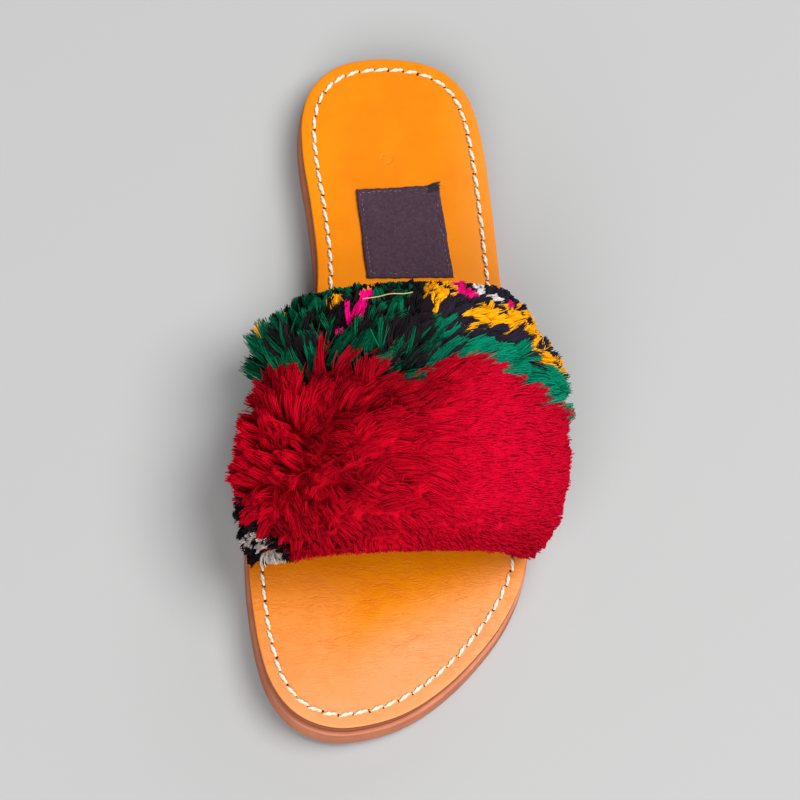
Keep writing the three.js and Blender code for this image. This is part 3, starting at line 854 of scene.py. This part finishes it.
def pilePieces():
    u, names, path, radii, shade = (np.concatenate(parts) for parts in zip(growPile(), growEdges()))
    pileMat("pileMatRed", "red", True)
    pileMat("pileMatGreen", "green", False)
    # the red wool is split over the arch to keep each piece small
    splits = {"red": [(-1, 0.3, "Inner"), (0.3, 0.62, "Crown"), (0.62, 2, "Outer")]}
    for name, (slot, *tones) in wools.items():
        finish = woolFinish(f"{name} wool", *tones)
        for low, high, part in splits.get(name, [(-1, 2, "")]):
            chosen = (names == name) & (u >= low) & (u < high)
            points, faces = tubes(path[chosen], radii[chosen], 3)
            values = {"shade": np.repeat(shade[chosen].ravel(), 3)}
            made = piece(f"{name}Strands{part}", points, faces, finish, slot, values)
            print(made.name, len(faces), "triangles")


def weftThread():
    # one loose weft thread lies over the wool at the back of the strap
    step = np.linspace(0, 1, 24)
    u = np.interp(step, (0, 1), looseThread["arch"])
    v = np.interp(step, (0, 1), looseThread["band"]) + 0.002 * np.sin(step * 9)
    path = bandOut(u, v, band["thickness"] + looseThread["height"] + 0.25 * np.sin(step * 13))
    points, faces = tubes(path[None], np.full((1, len(step)), looseThread["radius"]), 6)
    finish = plainFinish("weft thread", 0.15, 0.85, 0.8, tone(176, 138, 92), tone(206, 170, 120))
    piece("weftThread", points, faces, finish)


pilePieces()
weftThread()
print("pile grown")


# Seam and label

seam = {
    "inset": 4.65, "pitch": 5.45, "reach": 5.25, "slant": 0.45,
    "ply": 0.46, "twist": 0.3, "turns": 1.2, "height": 0.35, "hole": 0.5, "holeSides": 10,
    "strap": (106, 196),  # from the heel, where the strap covers the seam
}


def seamPlaces():
    # the middle of each stitch and its direction, all round except under the strap
    edge = insetLoop(0)
    toe = ease(edge[:, 1], 200, 228)
    inset = seam["inset"] + toe * (0.7 * ease(edge[:, 0], -32, 2) - 0.25 * ease(-edge[:, 0], 28, 40))
    loop = edge + (insetLoop(1) - edge) * inset[:, None]
    loop = np.vstack([loop, loop[:1]])
    length = np.concatenate([[0], np.cumsum(np.linalg.norm(np.diff(loop, axis=0), axis=1))])
    count = int(length[-1] / seam["pitch"])
    spots = (np.arange(count) + 0.5 + rng.uniform(-0.05, 0.05, count)) * length[-1] / count

    def along(s):
        return np.stack([np.interp(s % length[-1], length, loop[:, k]) for k in (0, 1)], -1)

    middle, way = along(spots), unit(along(spots + 0.5) - along(spots - 0.5))
    start, end = seam["strap"]
    free = (middle[:, 1] < start) | (middle[:, 1] > end)
    return middle[free], way[free]


def seamPieces():
    # each stitch is two plies of thread, laid slanting over the seam's line
    middle, way = seamPlaces()
    count = len(middle)
    inward = np.stack([-way[:, 1], way[:, 0]], -1)
    step = np.linspace(-0.5, 0.5, 11)
    end = abs(2 * step)
    slant = seam["slant"] * rng.uniform(0.6, 1.4, count)
    reach = seam["reach"] * rng.uniform(0.93, 1.04, count)
    paths, radii = [], []
    for ply in (0, np.pi):
        phase = step * 2 * np.pi * seam["turns"] + ply
        shift = -slant[:, None] * step * 2 + seam["twist"] * np.cos(phase) * (1 - end**2)
        run = step * reach[:, None]
        flat = middle[:, None] + way[:, None] * run[:, :, None] + inward[:, None] * shift[:, :, None]
        height = footbed - 0.1 + seam["height"] * (1 - end**2) - 0.45 * end**6 + seam["twist"] * np.sin(phase)
        height = np.tile(height, count)
        paths.append(onSole(flat.reshape(-1, 2), height).reshape(count, len(step), 3))
        radii.append(np.outer(rng.uniform(0.9, 1.15, count), seam["ply"] * (1 - 0.55 * end**3)))
    points, faces = tubes(np.vstack(paths), np.vstack(radii), 7, level=True)
    material, start, shader = newFinish("seam thread", 0.3, 0.7)
    fuzz = start.place().noise(0.35, 3, 0.6)
    colour = fuzz.rise(0.3, 0.75).mix(tone(226, 214, 196), tone(196, 178, 152))
    feed(shader, {"Base Color": colour, "Normal": fuzz.bump(0.4, 0.12)})
    piece("seamThread", points, faces, material)

    # needle holes where the stitches meet, one to each side of the seam's line, as dark discs of painted
    # shade
    aside = inward * (seam["slant"] * 0.9)
    meeting = middle + way * seam["pitch"] / 2
    ends = np.vstack([meeting + aside, meeting - aside])
    ends = ends + rng.normal(0, 0.12, ends.shape)
    sides = seam["holeSides"]
    angle = np.arange(sides) * 2 * np.pi / sides
    wobble = rng.uniform(0.75, 1.2, (len(ends), sides)) * rng.uniform(0.5, 1.1, (len(ends), 1))
    rings = []
    for share, height in ((1.0, 0), (0.6, 0.02), (0.3, 0.03)):
        radius = seam["hole"] * share * wobble[:, :, None]
        flat = ends[:, None] + radius * np.stack([np.cos(angle), np.sin(angle)], -1)
        rings.append(onSole(flat.reshape(-1, 2), footbed - 0.12 + height).reshape(len(ends), sides, 3))
    points = np.stack(rings, 1).reshape(-1, 3)
    cap = np.array([[0, 1, 2, 3], [0, 3, 4, 9], [4, 5, 8, 9], [5, 6, 7, 8]]) + 2 * sides
    faces = copies(np.vstack([gridFaces(3, sides, True), cap]), len(ends), 3 * sides)
    hole = plainFinish("needle holes", 0.1, 0.9, 0.4, tone(40, 18, 8), tone(84, 40, 14))
    piece("seamHoleShade", points, faces, hole)


seamPieces()
print("seam sewn")

label = {
    "width": 31, "length": 36.8, "thickness": 0.9, "gap": 0.3, "fromHeel": 72.8, "x": 7.2, "turn": 5,
    "rows": 44, "columns": 38, "hem": 1.6, "pitch": 1.9, "thread": 0.15, "bar": 7, "barThread": 0.3,
}
labelTop = footbed + label["gap"] + label["thickness"]
# how far each corner is drawn out of square, across and along: on each side the left, then the right one
labelCorners = {"heel": ((-0.5, 0.2), (-0.9, 0.5)), "toe": ((0.2, 0.7), (0.8, -0.6))}


def onLabel(across, along, height):
    # a point of the label from the shares of its width and length, -0.5 to 0.5
    left, up = 0.5 - across, 0.5 + along
    shift = 0
    for side, share in (("heel", up), ("toe", 1 - up)):
        (a, b), (c, d) = labelCorners[side]
        pull = left[..., None] * (a, b) + (1 - left)[..., None] * (c, d)
        shift = shift + share[..., None] * pull
    wide = across * label["width"] + shift[..., 0]
    far = along * label["length"] + shift[..., 1]
    turn = math.radians(label["turn"])
    x = label["x"] + wide * math.cos(turn) - far * math.sin(turn)
    y = heelY - label["fromHeel"] + wide * math.sin(turn) + far * math.cos(turn)
    return np.stack([x, y, np.broadcast_to(height, x.shape)], -1)


def stitchRadii(radius, step, count):
    # thread thins out where it goes into the cloth
    return np.tile(radius * (1 - 0.5 * (2 * step - 1) ** 6), (count, 1))


def labelPieces():
    rows, columns = label["rows"], label["columns"]
    r, c = np.meshgrid(np.linspace(-0.5, 0.5, rows), np.linspace(-0.5, 0.5, columns), indexing="ij")
    rim = np.minimum((0.5 - abs(r)) * label["length"], (0.5 - abs(c)) * label["width"])
    # edges a little uneven, the cloth pressed down under its thread and puffed up between the stitches
    ragged = 0.1 / label["width"] * (np.sin(r * 13 + 1) + rng.normal(0, 0.8, (rows, 1))) * abs(2 * c) ** 8
    frayed = 0.1 / label["length"] * (np.sin(c * 11) + rng.normal(0, 0.8, (1, columns))) * abs(2 * r) ** 8
    swell = 0.12 * np.sin(r * 9 + 1) * np.cos(c * 7) - 0.3 * np.exp(-(((rim - label["hem"]) / 0.55) ** 2))
    top = labelTop - 0.1 + swell - 0.35 * (1 - ease(rim, 0, 0.7))
    upper = onLabel(c + ragged, r + frayed, top)
    lower = onLabel(c + ragged, r + frayed, footbed + 0.12)
    points = np.vstack([upper.reshape(-1, 3), lower.reshape(-1, 3)])
    cloth = clothFinish("label cloth", tone(90, 66, 79), tone(56, 40, 52), 0.7, 0.15)
    piece("labelCloth", points, sheetFaces(rows, columns), cloth, "label")

    # small running stitches along the hem
    size = np.array([label["width"], label["length"]])
    half = size / 2 - label["hem"]
    corners = np.array([(-1, -1), (1, -1), (1, 1), (-1, 1)]) * half
    starts, ends = [], []
    for a, b in zip(corners, np.roll(corners, -1, 0)):
        count = int(np.linalg.norm(b - a) / label["pitch"])
        share = (np.arange(count) + 0.5) / count
        mid = a + (b - a) * share[:, None] + rng.normal(0, 0.15, (count, 2))
        way = unit(b - a) * label["pitch"] * 0.3
        starts.append(mid - way)
        ends.append(mid + way)
    starts, ends = np.vstack(starts), np.vstack(ends)
    step = np.linspace(0, 1, 6)
    flat = (starts[:, None] + (ends - starts)[:, None] * step[:, None]) / size
    height = labelTop - 0.34 + 0.2 * (1 - (2 * step - 1) ** 4)
    paths = onLabel(flat[:, :, 0], flat[:, :, 1], height)
    points, faces = tubes(paths, stitchRadii(label["thread"], step, len(starts)), 6, level=True)
    thread, start, shader = newFinish("label thread", 0.2, 0.75)
    worn = start.place().noise(3).rise(0.35, 0.65)
    feed(shader, {"Base Color": worn.mix(tone(126, 100, 110), tone(50, 42, 60))})
    piece("labelThread", points, faces, thread)

    # a short bar of dark stitches at one corner, where the sewing was finished off
    count = label["bar"]
    step = np.linspace(0, 1, 8)
    across = 0.355 + 0.15 * step + rng.normal(0, 0.008, (count, 1))
    along = np.linspace(0.43, 0.51, count)[:, None] + rng.normal(0, 0.006, (count, 1)) + 0.03 * (step - 0.5)
    height = labelTop + 0.3 * np.sin(step * math.pi) - 0.1
    points, faces = tubes(onLabel(across, along, height), stitchRadii(label["barThread"], step, count), 6)
    dark = plainFinish("label bar", 0.1, 0.9, 0.6, tone(30, 30, 34), tone(56, 48, 56))
    piece("labelBar", points, faces, dark)


labelPieces()
print("label sewn")


# Studio

studio = {"floor": 6000, "skyStrength": 0.12}
lights = {
    "keyLight": {"place": (1400, -200, 2900), "aim": (0, 0, 0), "size": 2200, "power": 128},
    "fillLight": {"place": (-700, -2500, 2200), "aim": (0, 0, 0), "size": 2600, "power": 116},
    "backLight": {"place": (1000, 2300, 1500), "aim": (0, -60, 0), "size": 1400, "power": 20},
}


def floorPiece():
    mesh = bpy.data.meshes.new("studioFloor")
    size = studio["floor"] * mm
    corners = [(-size, -size, 0), (size, -size, 0), (size, size, 0), (-size, size, 0)]
    mesh.from_pydata(corners, [], [(0, 1, 2, 3)])
    pale = plainFinish("studio floor", 0.1, 0.9, 400, tone(159, 159, 159), tone(161, 161, 161))
    mesh.materials.append(pale)
    floor = inScene("studioFloor", mesh)


def areaLight(name, place, aim, size, power):
    lamp = bpy.data.lights.new(name, "AREA")
    lamp.shape = "DISK"
    lamp.size = size * mm
    lamp.energy = power
    made = inScene(name, lamp)
    turn = (Vector(aim) - Vector(place)).to_track_quat("-Z", "Y")
    made.matrix_world = Matrix.Translation(Vector(place) * mm) @ turn.to_matrix().to_4x4()


floorPiece()
for name, light in lights.items():
    areaLight(name, **light)
world = bpy.data.worlds.new("studio")
bpy.context.scene.world = world
world.use_nodes = True
sky = world.node_tree.nodes["Background"]
sky.inputs["Color"].default_value = (1, 1, 1, 1)
sky.inputs["Strength"].default_value = studio["skyStrength"]
bpy.context.scene.view_settings.view_transform = "Standard"

# Camera: high over the toe, a little to the inner side, with the shoe's length upright in the picture
view = {
    "towards": (-0.0437, -0.4226, 0.9063), "from": (-54.6, -0.7, 0), "away": 1600, "aim": (4.7, -8, 18),
    "up": (-0.005, 1, 0), "lens": 199, "sensor": 36,
}
eye = Vector(view["from"]) + Vector(view["towards"]).normalized() * view["away"]
back = (eye - Vector(view["aim"])).normalized()
level = Vector(view["up"]) - Vector(view["towards"]) * view["towards"][1]
upright = (level - back * level.dot(back)).normalized()
across = upright.cross(back)
camera = inScene("camera", bpy.data.cameras.new("camera"))
camera.data.lens = view["lens"]
camera.data.sensor_width = view["sensor"]
camera.matrix_world = Matrix.Translation(eye * mm) @ Matrix((across, upright, back)).transposed().to_4x4()
bpy.context.scene.camera = camera

print("scene ready")
